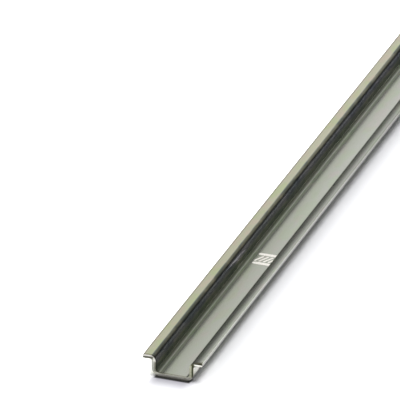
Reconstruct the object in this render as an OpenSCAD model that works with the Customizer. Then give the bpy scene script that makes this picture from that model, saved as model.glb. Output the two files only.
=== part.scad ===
// Top-hat mounting rail, 15 x 5.5 mm, plain (no slots), roll-formed from 1 mm steel strip.
// The rail lies on its base: +Y runs along it, +X across it, +Z up through the open channel.
// Origin: middle of the underside of the base.

/* [Length] */
// Length of the cut piece
rail_length = 500; // [50:10:2000]

/* [Section] */
// Overall width, over the tips of the two flanges
rail_width = 15; // [14:0.5:40]
// Width of the channel, outside to outside of the webs
channel_width = 10.5; // [8:0.5:11]
// Overall height, underside of the base to the top of the flanges
rail_height = 5.5; // [5:0.5:15]
// Thickness of the strip
sheet = 1; // [0.8:0.1:1.5]
// Inside radius of the four bends
bend_radius = 0.8; // [0.3:0.1:1]
// Rounding along the two slit edges of the strip
slit_edge_radius = 0.2; // [0.1:0.05:0.35]

/* [Hidden] */
$fn = 96;

// The outside of every bend is one sheet wider than its inside
outer_radius = bend_radius + sheet;
// Flat stretches of the section, from one bend's end to the next
base_flat = channel_width - 2 * outer_radius;
web_flat = rail_height - 2 * outer_radius;
flange_flat = (rail_width - channel_width) / 2 - bend_radius;

// Quarter ring: the strip turned through 90 degrees, its centre at the origin
module bend() {
    intersection() {
        difference() {
            circle(r = outer_radius);
            circle(r = bend_radius);
        }
        square(outer_radius);
    }
}

// Flat stretch of flange that ends in a slit edge with two rounded corners
module flange() {
    body_length = flange_flat - slit_edge_radius;
    square([body_length, sheet]);
    translate([body_length, slit_edge_radius])
        square([slit_edge_radius, sheet - 2 * slit_edge_radius]);
    for (corner = [slit_edge_radius, sheet - slit_edge_radius])
        translate([body_length, corner])
            circle(r = slit_edge_radius);
}

// Right half of the section, followed along the strip from the base to the flange tip
module half_section() {
    base_end = base_flat / 2;
    web_inside = channel_width / 2 - sheet;
    flange_start = channel_width / 2 + bend_radius;

    square([base_end, sheet]);
    translate([base_end, outer_radius])
        mirror([0, 1]) bend();
    translate([web_inside, outer_radius])
        square([sheet, web_flat]);
    translate([flange_start, rail_height - outer_radius])
        mirror([1, 0]) bend();
    translate([flange_start, rail_height - sheet])
        flange();
}

module section() {
    half_section();
    mirror([1, 0]) half_section();
}

module rail() {
    color([0.74, 0.74, 0.68])
        rotate([90, 0, 0])
            linear_extrude(height = rail_length, center = true)
                section();
}

rail();
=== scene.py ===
"""Looks of a top-hat mounting rail, 15 x 5.5 mm, roll-formed from zinc-plated strip, on a white floor."""

import math

import bpy
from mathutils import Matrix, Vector


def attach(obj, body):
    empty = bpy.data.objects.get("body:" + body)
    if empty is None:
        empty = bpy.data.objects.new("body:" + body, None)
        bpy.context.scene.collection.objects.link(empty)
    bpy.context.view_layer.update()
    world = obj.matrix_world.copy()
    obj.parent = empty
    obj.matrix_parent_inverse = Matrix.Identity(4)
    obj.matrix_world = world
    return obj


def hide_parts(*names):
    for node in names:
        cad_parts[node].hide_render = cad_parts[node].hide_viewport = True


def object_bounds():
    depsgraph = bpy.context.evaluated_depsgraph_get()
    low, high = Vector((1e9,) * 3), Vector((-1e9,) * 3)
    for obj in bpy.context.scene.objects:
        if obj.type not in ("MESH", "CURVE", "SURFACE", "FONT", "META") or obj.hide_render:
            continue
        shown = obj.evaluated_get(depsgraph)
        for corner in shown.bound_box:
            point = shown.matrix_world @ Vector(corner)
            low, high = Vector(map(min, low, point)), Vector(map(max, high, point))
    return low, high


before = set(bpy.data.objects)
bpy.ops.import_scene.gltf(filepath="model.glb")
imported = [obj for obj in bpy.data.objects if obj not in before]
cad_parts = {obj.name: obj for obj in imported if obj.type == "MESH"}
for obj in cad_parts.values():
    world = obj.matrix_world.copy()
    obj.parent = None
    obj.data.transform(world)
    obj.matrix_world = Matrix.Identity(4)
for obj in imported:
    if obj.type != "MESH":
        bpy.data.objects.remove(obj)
cad_low, cad_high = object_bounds()

# Sizes are in metres, written as so many millimetres
MM = 0.001

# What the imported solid's box gives
rail_width = cad_high.x - cad_low.x
rail_length = cad_high.y - cad_low.y
rail_height = cad_high.z - cad_low.z
near_end = cad_low.y

# The strip, and the channel that it is folded into
channel_width = 10.5 * MM
sheet = 1.0 * MM
base_bend = 1.048 * MM
flange_bend = 0.505 * MM

# Springback: each flange climbs from its fold, and then less steeply over a flatter margin along its tip
right_root_slope = math.tan(math.radians(19.5))
right_tip_slope = math.tan(math.radians(2.3))
left_root_slope = math.tan(math.radians(2.2))
left_tip_slope = math.tan(math.radians(1.46))
tip_margin = 1.0 * MM
crown_radius = 6.0 * MM

# Edges: the strip's two long ones, and those of the cut ends
right_edge_radius = 0.08 * MM
left_edge_radius = 0.14 * MM
cut_edge_radius = 0.18 * MM

# The blade presses the left flange's tip down towards the near end
press_depth = 0.12 * MM
press_reach = 7.0 * MM
press_steps = 5


# ---------------------------------------------------------------- node building


def find(sockets, key):
    """The socket of that place, or the live one of that name."""
    if isinstance(key, int):
        return sockets[key]
    return next(s for s in sockets if s.enabled and key in (s.name, s.identifier))


class Signal:
    """One output of a node. Arithmetic on it adds Math nodes to its tree."""

    def __init__(self, kit, socket):
        self.kit = kit
        self.socket = socket

    def of(self, name):
        """Another output of the same node."""
        return Signal(self.kit, find(self.socket.node.outputs, name))

    def __add__(self, other):
        return self.kit.math("ADD", self, other)

    def __sub__(self, other):
        return self.kit.math("SUBTRACT", self, other)

    def __rsub__(self, other):
        return self.kit.math("SUBTRACT", other, self)

    def __mul__(self, other):
        return self.kit.math("MULTIPLY", self, other)

    def __truediv__(self, other):
        return self.kit.math("DIVIDE", self, other)

    def __rtruediv__(self, other):
        return self.kit.math("DIVIDE", other, self)

    def __neg__(self):
        return self.kit.math("MULTIPLY", self, -1.0)

    def __abs__(self):
        return self.kit.math("ABSOLUTE", self)

    __radd__ = __add__
    __rmul__ = __mul__


class Kit:
    """Adds nodes to one shader or geometry tree."""

    def __init__(self, tree):
        self.tree = tree

    def feed(self, socket, value):
        """Links a signal to a socket or writes a value there, a colour as red, green and blue."""
        if isinstance(value, Signal):
            self.tree.links.new(value.socket, socket)
        elif socket.type == "RGBA":
            socket.default_value = (*value, 1.0)
        else:
            socket.default_value = value

    def node(self, kind, settings=None, sockets=None, output=0):
        """A node of that type: its settings first, then what feeds its sockets.

        The setting items is how many items an index switch has. A socket that joins several takes a list.
        """
        made = self.tree.nodes.new(kind)
        for name, value in (settings or {}).items():
            if name == "items":
                while len(made.index_switch_items) < value:
                    made.index_switch_items.new()
            else:
                setattr(made, name, value)
        for key, value in (sockets or {}).items():
            for source in value if isinstance(value, list) else [value]:
                self.feed(find(made.inputs, key), source)
        return Signal(self, find(made.outputs, output)) if made.outputs else made

    def math(self, operation, *values):
        """That operation on numbers or signals."""
        return self.node("ShaderNodeMath", {"operation": operation}, dict(enumerate(values)))

    def vector(self, x=0.0, y=0.0, z=0.0):
        """A vector of three numbers or signals."""
        return self.node("ShaderNodeCombineXYZ", None, {"X": x, "Y": y, "Z": z})

    def ramp(self, value, start, end, low, high):
        """low before start, high past end and a smooth step between. Either of the two may be the larger."""
        sockets = {"Value": value, "From Min": start, "From Max": end, "To Min": low, "To Max": high}
        return self.node("ShaderNodeMapRange", {"interpolation_type": "SMOOTHSTEP"}, sockets)

    def rises(self, value, start, end):
        """A smooth step from 0 to 1."""
        return self.ramp(value, start, end, 0.0, 1.0)

    def falls(self, value, start, end):
        """A smooth step from 1 to 0."""
        return self.ramp(value, start, end, 1.0, 0.0)

    def mix(self, share, first, second, blend="MIX"):
        """Colour that goes with share from first to second."""
        sockets = {"Factor": share, "A": first, "B": second}
        return self.node("ShaderNodeMix", {"data_type": "RGBA", "blend_type": blend}, sockets, "Result")

    def shade(self, share, colour, factors):
        """Colour that goes with share from itself to itself times the factors."""
        return self.mix(share, colour, factors, "MULTIPLY")

    def noise(self, place, grain, detail):
        """Noise from 0 to 1 whose grain has that size along each axis, in millimetres."""
        per_metre = tuple(1 / (size * MM) for size in grain)
        stretched = self.node("ShaderNodeMapping", None, {"Vector": place, "Scale": per_metre})
        return self.node("ShaderNodeTexNoise", None, {"Vector": stretched, "Scale": 1.0, "Detail": detail})

    def relief(self, height, strength, depth):
        """The normal of a surface with that relief, which is that many millimetres deep."""
        sockets = {"Height": height, "Strength": strength, "Distance": depth * MM}
        return self.node("ShaderNodeBump", None, sockets)


# ---------------------------------------------------------------- places on the rail


class Spot:
    """Where a point lies, as signals in millimetres. What is measured across the rail grows to the right.

    A web's side is its outer surface, and its face is the one in the channel.
    """

    def __init__(self, kit, place):
        axes = kit.node("ShaderNodeSeparateXYZ", None, {"Vector": place})
        half_width = rail_width / 2 / MM
        web_outside = channel_width / 2 / MM
        web_inside = web_outside - sheet / MM
        self.across = axes.of("X") / MM
        self.height = axes.of("Z") / MM
        self.from_cut = (axes.of("Y") - near_end) / MM
        self.from_left_tip = self.across + half_width
        self.from_right_tip = self.across - half_width
        self.from_left_side = self.across + web_outside
        self.from_left_face = self.across + web_inside
        self.from_right_face = self.across - web_inside
        self.from_right_side = self.across - web_outside
        self.above_base = self.height - sheet / MM
        self.below_top = rail_height / MM - self.height


class Zones(Spot):
    """Masks over the stretches of the rail that the plating treats in their own way. Some of them carry
    painted highlights and painted shade.
    """

    def __init__(self, kit, place):
        super().__init__(kit, place)
        # Over the first part of the rail the painted light and shade go from how they lie at the cut end to
        # how they lie farther along
        self.farther = kit.rises(self.from_cut, 20, 170)
        self.left_flange = kit.falls(self.from_left_side, -0.35, 0.05)
        self.left_face = (1.0 - self.left_flange) * kit.falls(self.from_left_face, 0.05, 0.45)
        over_fold = kit.rises(self.from_left_side, -0.05, 0.20) * kit.falls(self.from_left_face, 0.05, 0.25)
        # Painted highlight over the top of the left flange's fold
        self.upper_fold_highlight = over_fold * kit.falls(self.below_top, 0.45, 0.75)
        # The left fold at the channel's floor, which gets a painted highlight and rougher zinc
        at_foot = kit.falls(self.from_left_face, 1.35, 1.75)
        self.lower_fold = at_foot * kit.falls(self.above_base, 0.3, 0.7)


# ---------------------------------------------------------------- finishes


def new_finish(name):
    """An empty material: its kit, its surface shader's node and the place on the piece, in metres."""
    material = bpy.data.materials.new(name)
    material.use_nodes = True
    kit = Kit(material.node_tree)
    place = kit.node("ShaderNodeTexCoord", output="Object")
    return material, kit, material.node_tree.nodes["Principled BSDF"], place


def feed_surface(kit, shader, sockets):
    """Feeds a surface shader's sockets."""
    for name, value in sockets.items():
        kit.feed(shader.inputs[name], value)


def bath_tints(kit, on):
    """The bath ran off to one side: straw on the left flange, greener in the channel, clear on the right.
    Low on the left web's face the green is also darkened as painted shade.
    """
    green_grey = (0.480, 0.500, 0.425)
    clear = (0.575, 0.590, 0.535)
    straw = (0.560, 0.555, 0.415)
    green_tint_and_shade = (0.302, 0.328, 0.288)
    violet = (0.485, 0.490, 0.610)
    low = kit.falls(on.above_base, 1.4, 2.0)
    high = kit.rises(on.above_base, 1.6, 2.6) * kit.rises(on.below_top, 0.3, 1.1)
    tint = kit.mix(kit.rises(on.across, -2.6, 2.5), green_grey, clear)
    tint = kit.mix(on.left_flange, tint, straw)
    # Low on the left web's face in the channel: a green tint, darkened with painted shade
    tint = kit.mix(on.left_face * low, tint, green_tint_and_shade)
    return kit.mix(on.left_face * high, tint, violet)


def painted_fold_highlights(kit, on, tint):
    """Painted highlights: one over the top of the left flange's fold, and a paler one along the left fold at
    the channel's floor.
    """
    upper_fold_highlight_colour = (0.80, 0.80, 0.60)
    lower_fold_highlight_colour = (0.60, 0.65, 0.51)
    beside_web = kit.ramp(on.from_left_face, 0.3, 0.5, 0.6, 0.0)
    pale = beside_web + kit.ramp(on.from_left_face, 0.65, 1.25, 0.03, 1.0)
    # Painted highlight over the top of the left flange's fold
    tint = kit.mix(on.upper_fold_highlight, tint, upper_fold_highlight_colour)
    # Paler painted highlight along the left fold at the channel's floor
    return kit.mix(on.lower_fold * pale, tint, lower_fold_highlight_colour)


def outer_sides(kit, on, tint):
    """Painted shade on the right flange's edge face and on the right foot, a painted reflection on the right
    web beside the cut, and painted shade on the left web's outer side and the left flange's rim.
    """
    painted_edge_shade = (0.29, 0.29, 0.28)
    painted_foot_shade = (0.10, 0.10, 0.095)
    bright = (1.0, 1.0, 0.95)
    dull = (0.36, 0.36, 0.30)
    painted_rim_shade = (0.50, 0.46, 0.49)
    rim = kit.rises(on.from_right_tip, -0.08, -0.02) * kit.rises(on.below_top, 0.2, 0.6)
    foot = kit.rises(on.from_right_face, 0.05, 0.20) * kit.falls(on.above_base, -0.1, 0.5)
    web = kit.rises(on.from_right_side, -0.35, -0.15) * kit.rises(on.above_base, 0.4, 1.0)
    web = web * kit.rises(on.below_top, 0.7, 1.0) * kit.falls(on.from_cut, 7, 16)
    left_web = kit.falls(on.from_left_side, 0.10, 0.35) * kit.rises(on.below_top, 1.1, 1.5)
    left_rim = kit.falls(on.from_left_tip, 0.2, 0.5)
    # Painted shade on the right flange's outer edge face
    tint = kit.mix(rim, tint, painted_edge_shade)
    # Painted shade on the right foot, close to the floor
    tint = kit.mix(foot, tint, painted_foot_shade)
    # Painted reflection of the floor on the right web's outer side, beside the cut
    tint = kit.mix(web, tint, bright)
    # Painted shade on the left web's outer side
    tint = kit.mix(left_web, tint, dull)
    # Painted shade along the left flange's outer rim
    return kit.shade(left_rim, tint, painted_rim_shade)


def clouds(kit, on, tint, cloud, drift):
    """Small clouds and a slower drift of the tint, strongest on the left web and flange."""
    darker_blue = (0.72, 0.74, 0.86)
    paler = (1.22, 1.20, 1.14)
    pinker = (1.07, 0.97, 1.03)
    greener = (0.94, 1.03, 0.87)
    web = on.left_face * kit.rises(on.above_base, 0.4, 1.0)
    mottle = 0.5 + 0.5 * on.left_flange
    tint = kit.shade(web * kit.rises(drift, 0.46, 0.60), tint, darker_blue)
    tint = kit.shade(web * kit.rises(cloud, 0.50, 0.62), tint, paler)
    tint = kit.shade(mottle * kit.rises(cloud, 0.50, 0.66), tint, pinker)
    return kit.shade(mottle * kit.rises(drift, 0.50, 0.66), tint, greener)


def lengthways_painted_light(kit, on, tint):
    """Painted light and shade that change from the cut end to the rest of the rail, stretch by stretch
    across the section.
    """
    nearer = 1.0 - on.farther
    dull = nearer * kit.ramp(on.from_left_side, -0.35, 1.25, 0.6, 1.0)
    web = on.left_face * kit.rises(on.above_base, 0.4, 0.8) * kit.rises(on.below_top, 0.6, 0.8)
    right_fold = kit.rises(on.from_right_side, -0.35, -0.15) * kit.falls(on.from_right_tip, -1.9, -0.6)
    right_fold = right_fold * kit.falls(on.below_top, 0.4, 0.6)
    right_top = kit.rises(on.from_right_tip, -1.9, -1.4) * kit.falls(on.from_right_tip, -0.7, -0.4)
    right_tip = kit.rises(on.from_right_tip, -0.35, -0.1)
    tip_highlight_then_shade = kit.mix(on.farther, (1.25, 1.25, 1.22), (0.62, 0.61, 0.57))
    # Painted shade over the rail near the cut, lighter on the left flange
    tint = kit.shade(dull, tint, (0.79, 0.80, 0.765))
    # Painted highlight on the left flange's fold, stronger farther along
    tint = kit.shade(on.upper_fold_highlight * on.farther, tint, (1.2, 1.2, 1.2))
    # Painted shade on the left web's face, deeper farther along
    tint = kit.shade(web * on.farther, tint, (0.74, 0.72, 0.74))
    # Painted highlight on the right flange's fold, stronger farther along
    tint = kit.shade(right_fold * on.farther, tint, (1.45, 1.45, 1.40))
    # Painted shade on the right flange's top near the cut
    tint = kit.shade(right_top * nearer, tint, (0.84, 0.84, 0.84))
    # Painted highlight on the right flange's tip near the cut, and painted shade there farther along
    return kit.shade(right_tip, tint, tip_highlight_then_shade)


def satin_zinc():
    """Satin zinc on rolled strip: drawn lines along the rail, and a passivation that drifts in tint, with
    painted highlights and painted shade.
    """
    material, kit, shader, place = new_finish("satin_zinc")
    on = Zones(kit, place)
    fine_lines = kit.noise(place, (0.25, 60, 0.25), 2.0)
    broad_lines = kit.noise(place, (1.1, 140, 1.1), 2.0)
    cloud = kit.noise(place, (2.5, 5, 2.5), 2.0)
    drift = kit.noise(place, (3, 8, 3), 1.0)
    tint = bath_tints(kit, on)
    tint = painted_fold_highlights(kit, on, tint)
    tint = outer_sides(kit, on, tint)
    tint = clouds(kit, on, tint, cloud, drift)
    tint = lengthways_painted_light(kit, on, tint)
    # Darker in a thin line on the zinc just beside the cut
    tint = kit.shade(kit.falls(on.from_cut, 0.35, 0.80), tint, (0.62, 0.60, 0.55))
    feed_surface(kit, shader, {
        "Base Color": tint, "Metallic": 1.0,
        "Roughness": 0.185 + 0.04 * cloud + 0.04 * fine_lines + 0.09 * on.lower_fold,
        "Normal": kit.relief(0.6 * fine_lines + 0.4 * broad_lines, 0.06, 0.02),
    })
    return material


def bare_cut_steel():
    """Bare steel of the cut ends, brighter where the blade slid and duller where the metal tore, with
    painted highlights and painted shade over these bands.
    """
    material, kit, shader, place = new_finish("bare_cut_steel")
    on = Spot(kit, place)
    grain = kit.noise(place, (0.9, 1, 0.4), 3.0)
    on_right = kit.rises(on.across, 0.0, 0.1)
    base = kit.mix(kit.rises(on.height, 0.4, 0.6), (0.33, 0.325, 0.28), (0.44, 0.44, 0.38))
    left_web = kit.mix(kit.rises(on.from_left_face, -0.50, -0.25), (0.26, 0.265, 0.24), (0.14, 0.14, 0.11))
    # Right web's end: light inside, and its outer part darkened as painted shade
    right_web = kit.mix(kit.rises(on.from_right_face, 0.50, 0.65), (0.40, 0.41, 0.30), (0.05, 0.055, 0.03))
    # The line between slid and torn metal follows the flange that was pressed down. Below that line the left
    # flange's end is also darkened with painted shade.
    press_slope = 0.05
    left_depth = on.below_top + press_slope * on.from_left_side
    left_flange = kit.mix(kit.rises(left_depth, 0.35, 0.50), (0.44, 0.43, 0.41), (0.08, 0.08, 0.065))
    # Right flange's end: a painted dark line along its top and a painted highlight below it
    right_flange = kit.mix(kit.rises(on.below_top, 0.55, 0.65), (0.05, 0.05, 0.03), (0.90, 0.90, 0.83))
    # Painted shade on the right flange's end next to the web
    right_flange = kit.mix(kit.rises(on.from_right_side, 0.05, 0.45), (0.08, 0.085, 0.05), right_flange)
    # Painted highlight on the end, at the inside of the left fold
    end_fold_highlight = kit.falls(on.below_top, 1.4, 2.1) * kit.rises(on.from_left_side, 0.15, 0.55)
    webs = kit.mix(on_right, left_web, right_web)
    flanges = kit.mix(on_right, left_flange, right_flange)
    tint = kit.mix(kit.falls(on.below_top, 0.9, 1.2), webs, flanges)
    tint = kit.mix((1.0 - on_right) * end_fold_highlight, tint, (0.46, 0.46, 0.42))
    tint = kit.mix(kit.falls(on.above_base, 0.0, 0.4), tint, base)
    tint = kit.shade(kit.rises(grain, 0.50, 0.62), tint, (0.78, 0.78, 0.74))
    feed_surface(kit, shader, {
        "Base Color": tint, "Metallic": 1.0, "Roughness": 0.42, "Normal": kit.relief(grain, 0.4, 0.03),
    })
    return material


def etched_zinc():
    """Zinc that has been etched matt and bright."""
    material, kit, shader, place = new_finish("etched_zinc")
    speckle = kit.noise(place, (0.3, 0.3, 0.3), 3.0)
    tint = kit.mix(kit.rises(speckle, 0.3, 0.7), (0.82, 0.78, 0.71), (1.0, 0.97, 0.92))
    feed_surface(kit, shader, {"Base Color": tint, "Metallic": 0.1, "Roughness": 0.6})
    return material


# ---------------------------------------------------------------- geometry trees


def new_tree(name, inputs):
    tree = bpy.data.node_groups.new(name, "GeometryNodeTree")
    for kind, labels in inputs.items():
        for label in labels:
            tree.interface.new_socket(label, in_out="INPUT", socket_type="NodeSocket" + kind)
    tree.interface.new_socket("Geometry", in_out="OUTPUT", socket_type="NodeSocketGeometry")
    return tree, Kit(tree)


def grow(name, tree, values):
    """The plain mesh that a tree makes with those input values, as an object at the origin."""
    carrier = bpy.data.objects.new(name + "_carrier", bpy.data.meshes.new(name + "_carrier"))
    bpy.context.scene.collection.objects.link(carrier)
    modifier = carrier.modifiers.new("grow", "NODES")
    modifier.node_group = tree
    for item in tree.interface.items_tree:
        if item.in_out == "INPUT":
            modifier[item.identifier] = values[item.name]
    evaluated = carrier.evaluated_get(bpy.context.evaluated_depsgraph_get())
    mesh = bpy.data.meshes.new_from_object(evaluated)
    mesh.name = name
    carrier.modifiers.remove(modifier)
    bpy.data.objects.remove(carrier)
    piece = bpy.data.objects.new(name, mesh)
    bpy.context.scene.collection.objects.link(piece)
    return piece


def finish_tree(kit, mesh, material, end_faces=None, end_material=None):
    """Ends a geometry tree: instances made real, and the material set, with another one on the end faces."""
    done = kit.node("GeometryNodeRealizeInstances", None, {"Geometry": mesh})
    done = kit.node("GeometryNodeSetMaterial", None, {"Geometry": done, "Material": material})
    if end_faces is not None:
        done = kit.node("GeometryNodeSetMaterial", None, {
            "Geometry": done, "Selection": end_faces, "Material": end_material,
        })
    kit.node("NodeGroupOutput", None, {"Geometry": done})


def by_index(kit, kind, values):
    """The one of those values that belongs to a point's index."""
    sockets = {"Index": kit.node("GeometryNodeInputIndex")}
    for number, value in enumerate(values):
        sockets[str(number)] = value
    return kit.node("GeometryNodeIndexSwitch", {"data_type": kind, "items": len(values)}, sockets)


def line_through(kit, places):
    """A curve that goes straight from each place to the next."""
    place = by_index(kit, "VECTOR", places)
    points = kit.node("GeometryNodePoints", None, {"Count": len(places), "Position": place})
    return kit.node("GeometryNodePointsToCurves", None, {"Points": points})


def half_section(given, side):
    """Corners from the channel's floor round that side's flange to the underside: place, height, radius."""
    root_slope = given.of(side + " Root Slope")
    tip_slope = given.of(side + " Tip Slope")
    edge_radius = given.of(side + " Edge")
    thickness = given.of("Sheet")
    top = given.of("Height")
    half_width = given.of("Width") * 0.5
    web_outside = given.of("Channel") * 0.5
    web_inside = web_outside - thickness
    margin = given.of("Tip Margin")
    crest = half_width - margin
    crest_top = top - tip_slope * margin
    fold_top = crest_top - root_slope * (crest - web_inside)
    fold_under = crest_top - thickness - root_slope * (crest - web_outside)
    base_bend_inside = given.of("Base Bend")
    flange_bend_inside = given.of("Flange Bend")
    crown = given.of("Crown Radius")
    return [
        (web_inside, thickness, base_bend_inside),
        (web_inside, fold_top, flange_bend_inside + thickness),
        (crest, crest_top, crown),
        (half_width, top, edge_radius),
        (half_width, top - thickness, edge_radius),
        (crest, crest_top - thickness, crown - thickness),
        (web_outside, fold_under, flange_bend_inside),
        (web_outside, 0.0, base_bend_inside + thickness),
    ]


def rounded_section(kit, given):
    """The strip's closed outline, with all its corners rounded."""
    right_half = half_section(given, "Right")
    left_half = half_section(given, "Left")
    corners = right_half + [(-x, z, radius) for x, z, radius in reversed(left_half)]
    # The sweep along +Y points the outline's own Y downwards
    places = [kit.vector(x, -z) for x, z, _ in corners]
    radius = by_index(kit, "FLOAT", [radius for _, _, radius in corners])
    closed = kit.node("GeometryNodeSetSplineCyclic", None, {
        "Geometry": line_through(kit, places), "Cyclic": True,
    })
    return kit.node("GeometryNodeFilletCurve", {"mode": "POLY"}, {
        "Curve": closed, "Count": given.of("Bend Steps"), "Radius": radius, "Limit Radius": False,
    })


def spine(kit, given):
    """The line that the section is drawn along, in short steps where the flange is pressed down."""
    half_length = given.of("Length") * 0.5
    reach = given.of("Press Reach")
    stations = [reach * (step / press_steps) - half_length for step in range(press_steps + 1)]
    line = line_through(kit, [kit.vector(y=station) for station in stations + [half_length]])
    return kit.node("GeometryNodeSetCurveNormal", {"mode": "Z_UP"}, {"Curve": line})


def pressed_down(kit, given, rail):
    """The rail with its left flange's tip pressed down towards the near end."""
    spot = kit.node("ShaderNodeSeparateXYZ", None, {"Vector": kit.node("GeometryNodeInputPosition")})
    half_length = given.of("Length") * 0.5
    outward = kit.rises(spot.of("X"), given.of("Channel") * -0.5, given.of("Width") * -0.5)
    to_cut = kit.rises(spot.of("Y"), given.of("Press Reach") - half_length, -half_length)
    offset = kit.vector(z=-given.of("Press Depth") * outward * to_cut * to_cut)
    return kit.node("GeometryNodeSetPosition", None, {"Geometry": rail, "Offset": offset})


def rail_tree():
    """The strip's section drawn along the rail and capped at both ends."""
    tree, kit = new_tree("rail_section", {
        "Float": [
            "Width", "Height", "Length", "Channel", "Sheet", "Base Bend", "Flange Bend",
            "Tip Margin", "Crown Radius", "Right Root Slope", "Right Tip Slope", "Right Edge",
            "Left Root Slope", "Left Tip Slope", "Left Edge", "Press Depth", "Press Reach",
        ],
        "Int": ["Bend Steps"],
        "Material": ["Plated", "Cut"],
    })
    given = kit.node("NodeGroupInput")
    swept = kit.node("GeometryNodeCurveToMesh", None, {
        "Curve": spine(kit, given), "Profile Curve": rounded_section(kit, given), "Fill Caps": True,
    })
    swept = pressed_down(kit, given, swept)
    facing = kit.node("GeometryNodeInputNormal")
    lengthways = abs(kit.node("ShaderNodeSeparateXYZ", None, {"Vector": facing}, "Y"))
    nearly_lengthways = 0.9
    is_end = kit.math("GREATER_THAN", lengthways, nearly_lengthways)
    smooth = kit.node("GeometryNodeSetShadeSmooth", None, {"Geometry": swept, "Shade Smooth": 1.0 - is_end})
    finish_tree(kit, smooth, given.of("Plated"), is_end, given.of("Cut"))
    return tree


def stroke_bar(kit, given, kind):
    """A thin flat bar along X with rounded corners."""
    width = given.of(kind + " Width")
    corner_radius = width * 0.4
    outline = kit.node("GeometryNodeCurvePrimitiveQuadrilateral", None, {
        "Width": given.of(kind + " Length"), "Height": width,
    })
    rounded = kit.node("GeometryNodeFilletCurve", {"mode": "POLY"}, {
        "Curve": outline, "Count": given.of("Corner Steps"), "Radius": corner_radius,
    })
    rise = kit.node("GeometryNodeCurvePrimitiveLine", None, {"End": kit.vector(z=given.of("Thickness"))})
    bar = kit.node("GeometryNodeCurveToMesh", None, {
        "Curve": rise, "Profile Curve": rounded, "Fill Caps": True,
    })
    return kit.node("GeometryNodeSetMaterial", None, {"Geometry": bar, "Material": given.of("Etched")})


def hatch_tree():
    """A band across the channel: a row of leaning strokes between two straight borders."""
    tree, kit = new_tree("hatch_band", {
        "Int": ["Count", "Corner Steps"],
        "Float": [
            "Pitch", "Stroke Length", "Stroke Width", "Lean", "Border Length", "Border Width", "Border Gap",
            "Thickness",
        ],
        "Vector": ["Centre"],
        "Material": ["Etched"],
    })
    given = kit.node("NodeGroupInput")
    pitch = given.of("Pitch")
    gap = given.of("Border Gap")
    count = given.of("Count")
    row_start = (count - 1) * pitch * -0.5
    row = kit.node("GeometryNodeMeshLine", None, {
        "Count": count, "Start Location": kit.vector(x=row_start), "Offset": kit.vector(x=pitch),
    })
    pair = kit.node("GeometryNodeMeshLine", None, {
        "Count": 2, "Start Location": kit.vector(y=gap * -0.5), "Offset": kit.vector(y=gap),
    })
    strokes = kit.node("GeometryNodeInstanceOnPoints", None, {
        "Points": row, "Instance": stroke_bar(kit, given, "Stroke"),
        "Rotation": kit.vector(z=given.of("Lean")),
    })
    borders = kit.node("GeometryNodeInstanceOnPoints", None, {
        "Points": pair, "Instance": stroke_bar(kit, given, "Border"),
    })
    band = kit.node("GeometryNodeJoinGeometry", None, {"Geometry": [strokes, borders]})
    laid = kit.node("GeometryNodeTransform", None, {"Geometry": band, "Translation": given.of("Centre")})
    finish_tree(kit, laid, given.of("Etched"))
    return tree


# ---------------------------------------------------------------- pieces


def make_rail():
    """The rail itself, in place of the plain solid."""
    rail = grow("mounting_rail", rail_tree(), {
        "Width": rail_width, "Height": rail_height, "Length": rail_length, "Channel": channel_width,
        "Sheet": sheet, "Base Bend": base_bend, "Flange Bend": flange_bend, "Bend Steps": 10,
        "Tip Margin": tip_margin, "Crown Radius": crown_radius,
        "Right Root Slope": right_root_slope, "Right Tip Slope": right_tip_slope,
        "Left Root Slope": left_root_slope, "Left Tip Slope": left_tip_slope,
        "Right Edge": right_edge_radius, "Left Edge": left_edge_radius,
        "Press Depth": press_depth, "Press Reach": press_reach,
        "Plated": satin_zinc(), "Cut": bare_cut_steel(),
    })
    broken = rail.modifiers.new("broken_cut_edge", "BEVEL")
    broken.width = cut_edge_radius
    broken.segments = 3
    broken.limit_method = "ANGLE"
    broken.angle_limit = math.radians(60)
    flat = rail.modifiers.new("flats_stay_flat", "WEIGHTED_NORMAL")
    flat.keep_sharp = True
    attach(rail, "root")
    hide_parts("rail")


def make_hatch():
    """A plain hatch band etched across the channel's floor, where such stock is marked."""
    from_cut = 65.0 * MM
    off_centre = 0.5 * MM
    sunk = 0.002 * MM
    hatch = grow("hatch_mark", hatch_tree(), {
        "Count": 4, "Pitch": 1.2 * MM, "Lean": math.radians(62), "Corner Steps": 4,
        "Stroke Length": 3.3 * MM, "Stroke Width": 0.5 * MM,
        "Border Length": 5.3 * MM, "Border Width": 1.1 * MM, "Border Gap": 4.9 * MM,
        "Thickness": 0.02 * MM, "Centre": (off_centre, near_end + from_cut, sheet - sunk),
        "Etched": etched_zinc(),
    })
    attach(hatch, "root")


# ---------------------------------------------------------------- studio


def pointing(bearing, rise):
    """The direction of that bearing, in degrees from +Y towards +X, and that rise over the floor."""
    bearing, rise = math.radians(bearing), math.radians(rise)
    return Vector((math.sin(bearing) * math.cos(rise), math.cos(bearing) * math.cos(rise), math.sin(rise)))


def make_camera():
    """Long lens from the front right, looking down on the rail's near end."""
    # It aims past the rail's left side, so the rail runs out of view on the right
    left_of_middle = 25.93 * MM
    from_cut = 90.3 * MM
    distance = 1.91
    aim = Vector((-left_of_middle, near_end + from_cut, sheet))
    back = pointing(bearing=159.98, rise=26.41)
    camera = bpy.data.objects.new("camera", bpy.data.cameras.new("camera"))
    bpy.context.scene.collection.objects.link(camera)
    camera.data.lens = 691.3
    camera.data.sensor_width = 36.0
    camera.data.clip_start = 0.01
    camera.data.clip_end = 100.0
    camera.rotation_mode = "QUATERNION"
    camera.location = aim + back * distance
    camera.rotation_quaternion = (-back).to_track_quat("-Z", "Y")
    bpy.context.scene.camera = camera


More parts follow.
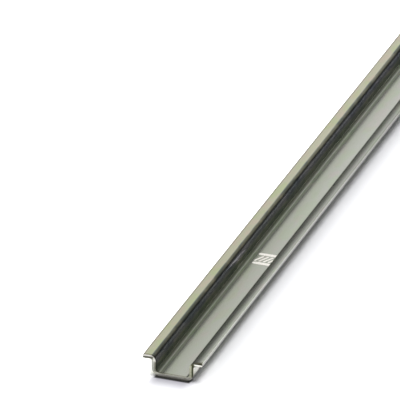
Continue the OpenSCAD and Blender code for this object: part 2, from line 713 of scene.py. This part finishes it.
def contact_shades(kit, on, white):
    """The floor's white with the shades that the rail leaves beside it and in front of its cut end."""
    close_shade = (0.85, 0.85, 0.85)
    wide_shade = (0.88, 0.88, 0.89)
    end_shade = (0.38, 0.37, 0.40)
    dark_line = (0.10, 0.10, 0.09)
    half_length = rail_length / 2 / MM
    beside_rail = kit.falls(abs(on.from_cut - half_length), half_length - 1, half_length + 2)
    right_of_web = beside_rail * kit.rises(on.from_right_side, -1.25, -0.75)
    under = right_of_web * kit.falls(on.from_right_side, -0.25, 0.75)
    beside = right_of_web * kit.falls(on.from_right_side, 0.75, 5.75)
    white = kit.shade(under, white, close_shade)
    white = kit.shade(beside * (0.2 + 0.8 * kit.rises(on.from_cut, 0, 170)), white, wide_shade)
    # In front of the cut end the shade deepens towards the dark line under the base
    off_middle = abs(on.across)
    before_end = kit.falls(on.from_cut, 1, 2)
    front = kit.rises(on.from_cut, -10, 0) * before_end * kit.falls(off_middle, 3.0, 8.5)
    line = kit.rises(on.from_cut, -1.0, -0.5) * before_end * kit.falls(off_middle, 4.2, 4.8)
    white = kit.shade(front * front, white, end_shade)
    return kit.shade(line, white, dark_line)


def make_floor():
    """A white floor that reaches past every camera's view and keeps the rail's shadow."""
    reach = 60.0
    corners = [(-reach, -reach, 0), (reach, -reach, 0), (reach, reach, 0), (-reach, reach, 0)]
    mesh = bpy.data.meshes.new("studio_floor")
    mesh.from_pydata(corners, [], [(0, 1, 2, 3)])
    material = bpy.data.materials.new("studio_floor")
    material.use_nodes = True
    kit = Kit(material.node_tree)
    kit.tree.nodes.clear()
    # Camera, gloss and glass see the white, and all else sees the paint, which keeps the light at its level
    rays = kit.node("ShaderNodeLightPath")
    seen = kit.math("MAXIMUM", rays.of("Is Camera Ray"), rays.of("Is Glossy Ray"))
    seen = kit.math("MAXIMUM", seen, rays.of("Is Transmission Ray"))
    paint = (0.85, 0.85, 0.85)
    # The lamp stands on the right, so the white is stronger on the left, where the rail's own shade falls
    left_white = (1.9, 1.9, 1.9)
    right_white = (1.18, 1.18, 1.215)
    on = Spot(kit, kit.node("ShaderNodeTexCoord", output="Object"))
    white = kit.mix(kit.rises(on.from_left_side, -1.25, 0.75), left_white, right_white)
    shown = contact_shades(kit, on, white)
    matt = kit.node("ShaderNodeBsdfDiffuse", None, {"Color": kit.mix(seen, paint, shown)})
    kit.node("ShaderNodeOutputMaterial", None, {"Surface": matt})
    mesh.materials.append(material)
    floor = bpy.data.objects.new("studio_floor", mesh)
    bpy.context.scene.collection.objects.link(floor)


def make_studio_light():
    """Bright ceiling, dark foot of the walls, a dark screen on the right, a soft box behind the camera."""
    world = bpy.data.worlds.new("studio")
    bpy.context.scene.world = world
    world.use_nodes = True
    kit = Kit(world.node_tree)
    kit.tree.nodes.clear()
    direction = kit.node("ShaderNodeTexCoord", output="Generated")
    parts = kit.node("ShaderNodeSeparateXYZ", None, {"Vector": direction})
    # Degrees: the bearing from +Y towards +X, and the rise over the floor
    bearing = kit.math("ARCTAN2", parts.of("X"), parts.of("Y")) * math.degrees(1)
    rise = kit.math("ARCSINE", parts.of("Z")) * math.degrees(1)
    foot_level = 0.056
    ceiling_level = 1.283
    screen_level = 0.171
    soft_box_level = 0.9
    walls = kit.ramp(rise, 10.75, 28.9, foot_level, ceiling_level)
    screen = kit.rises(bearing, -3.9, 7.4) * kit.falls(bearing, 122, 150) * kit.falls(rise, 64.2, 74.7)
    soft_box = soft_box_level * kit.rises(abs(bearing), 100, 140) * kit.rises(rise, -1, 1)
    level = kit.math("MAXIMUM", walls * (1.0 - (1.0 - screen_level) * screen), soft_box)
    shine = kit.node("ShaderNodeBackground", None, {"Strength": level})
    kit.node("ShaderNodeOutputWorld", None, {"Surface": shine})


def make_top_light():
    """A wide soft lamp high on the right of the rail."""
    lamp = bpy.data.objects.new("top_light", bpy.data.lights.new("top_light", "SUN"))
    bpy.context.scene.collection.objects.link(lamp)
    lamp.data.energy = 1.22
    lamp.data.angle = math.radians(19.2)
    lamp.rotation_mode = "QUATERNION"
    lamp.rotation_quaternion = pointing(bearing=90.0, rise=74.8).to_track_quat("Z", "Y")


make_camera()
make_rail()
make_hatch()
make_floor()
make_studio_light()
make_top_light()
bpy.context.scene.view_settings.view_transform = "Standard"
